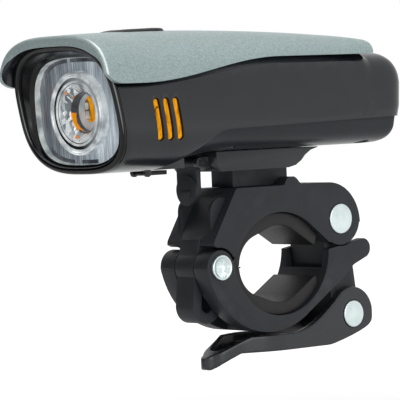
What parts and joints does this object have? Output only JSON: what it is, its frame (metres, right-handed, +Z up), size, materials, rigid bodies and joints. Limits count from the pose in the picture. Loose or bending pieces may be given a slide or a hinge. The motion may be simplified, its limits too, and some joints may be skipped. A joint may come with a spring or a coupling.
{
  "type": "bike headlight",
  "caption": "Long bicycle headlight with a visor cover, round optic and amber side slots, sliding on a rail above a hinged quick-release handlebar clamp with a cam lever.",
  "frame": {"origin": "centre of the handlebar in the closed clamp, on the lamp's middle plane", "axes": "+X the way the beam points, +Y towards the lamp's left side along the handlebar, +Z up"},
  "size_m": [0.115, 0.0488, 0.0982],
  "materials": {
    "housing": "satin dark grey",
    "cover": "satin metallic grey with a fine fleck",
    "bezel": "glossy black",
    "lens": "clear",
    "optic_frame": "pale",
    "led": "orange",
    "amber": "amber",
    "board": "green",
    "aluminium": "plain",
    "cell": "shrink sleeve",
    "dark_plastic": "plain",
    "clamp": "fine-textured black",
    "rubber": "matte black",
    "steel": "zinc plated",
    "black_steel": "black oxide"
  },
  "bodies": {
    "bracket": {"upper_jaw": "clamp", "upper_pad": "rubber", "rail_base": "clamp", "base_screw": "black_steel", "link_pin": "steel"},
    "lower_clamp": {"lower_jaw": "clamp", "lower_pad": "rubber", "hinge_rivet": "steel"},
    "link": {"toggle_link": "clamp"},
    "lever": {"cam_lever": "clamp", "lever_pin": "steel"},
    "lamp": {"housing": "housing", "top_cover": "cover", "front_bezel": "bezel", "lens_gasket": "rubber", "front_lens": "lens", "optic_frame": "optic_frame", "collimator": "lens", "led_board": "board", "led_emitter": "led", "heat_sink": "aluminium", "light_guide_left": "amber", "light_guide_right": "amber", "battery_cell": "cell", "battery_contacts": "steel", "main_board": "board", "tact_switch": "dark_plastic", "charge_board": "board", "usb_socket": "steel", "belly_shell": "housing", "mount_shoe": "housing", "shell_screws": "black_steel", "shoe_screws": "black_steel", "tongue_pin": "black_steel"},
    "latch": {"release_tongue": "clamp"},
    "button": {"power_button": "rubber"},
    "usb_flap": {"usb_cover": "rubber"}
  },
  "joints": [
    {"name": "link_swing", "type": "hinge", "parent": "bracket", "child": "link", "pos_m": [-0.0238, 0, 0.0116], "axis": [0, 1, 0], "range_deg": [0, 110]},
    {"name": "jaw_open", "type": "hinge", "parent": "bracket", "child": "lower_clamp", "pos_m": [0.0237, 0, 0.0005], "axis": [0, -1, 0], "range_deg": [0, 24.2]},
    {"name": "lever_open", "type": "hinge", "parent": "link", "child": "lever", "pos_m": [-0.0275, 0, -0.0167], "axis": [0, 1, 0], "range_deg": [0, 120]},
    {"name": "lamp_slide", "type": "slide", "parent": "bracket", "child": "lamp", "axis": [1, 0, 0], "range_m": [0, 0.024]},
    {"name": "latch_pull", "type": "hinge", "parent": "lamp", "child": "latch", "pos_m": [0.0259, 0, 0.0303], "axis": [0, -1, 0], "range_deg": [0, 12], "stiffness_Nm_per_rad": 0.02},
    {"name": "button_press", "type": "slide", "parent": "lamp", "child": "button", "axis": [0, 0, -1], "range_m": [0, 0.0008], "stiffness_N_per_m": 600},
    {"name": "usb_flap_open", "type": "hinge", "parent": "lamp", "child": "usb_flap", "pos_m": [0.043, 0, 0.02815], "axis": [0, -1, 0], "range_deg": [0, 90]}
  ],
  "couplings": [
    {"joint": "jaw_open", "follows": "link_swing", "ratio": 0.22}
  ]
}
